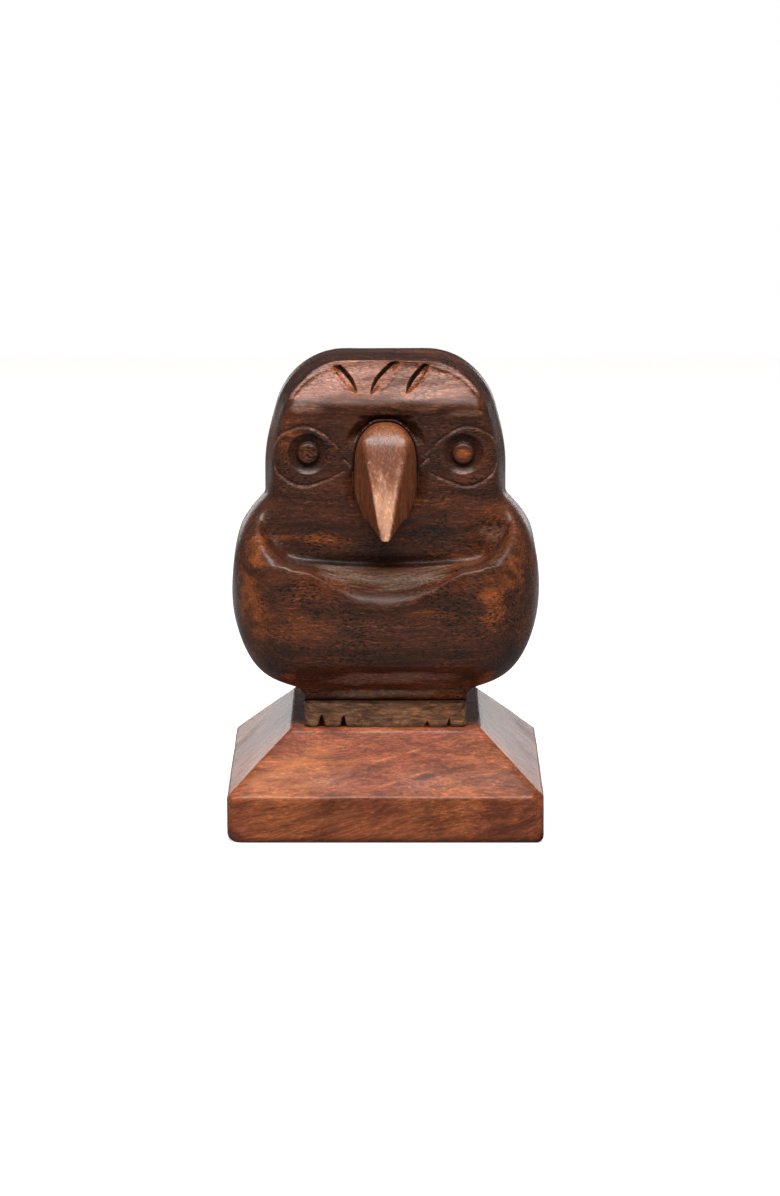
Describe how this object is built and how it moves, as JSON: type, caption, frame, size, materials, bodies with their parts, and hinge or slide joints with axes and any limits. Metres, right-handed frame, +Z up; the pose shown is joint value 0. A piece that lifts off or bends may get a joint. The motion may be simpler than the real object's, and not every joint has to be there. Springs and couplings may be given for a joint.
{
  "type": "eyeglasses display stand",
  "caption": "Carved wooden bird on a stepped plinth that holds a pair of eyeglasses, with their bridge on its pegged beak and the lenses in front of its face.",
  "frame": {"origin": "centre of the plinth's underside, on the table", "axes": "+Z up; the bird looks along -Y; +X is the bird's own left"},
  "size_m": [0.0636, 0.0636, 0.0949],
  "materials": {
    "plinth_rosewood": "clear gloss lacquer on reddish rosewood",
    "perch_raw_wood": "sawn and unfinished",
    "body_rosewood": "stained dark and lacquered",
    "beak_rosewood": "light heartwood, lacquered, grain upright",
    "peg_hardwood": "plain turned dowel",
    "screw_steel": "zinc plated"
  },
  "bodies": {
    "root": {"plinth": "plinth_rosewood", "perch_block": "perch_raw_wood", "bird_body": "body_rosewood", "beak": "beak_rosewood", "beak_peg": "peg_hardwood", "base_screws": "screw_steel"}
  },
  "joints": []
}
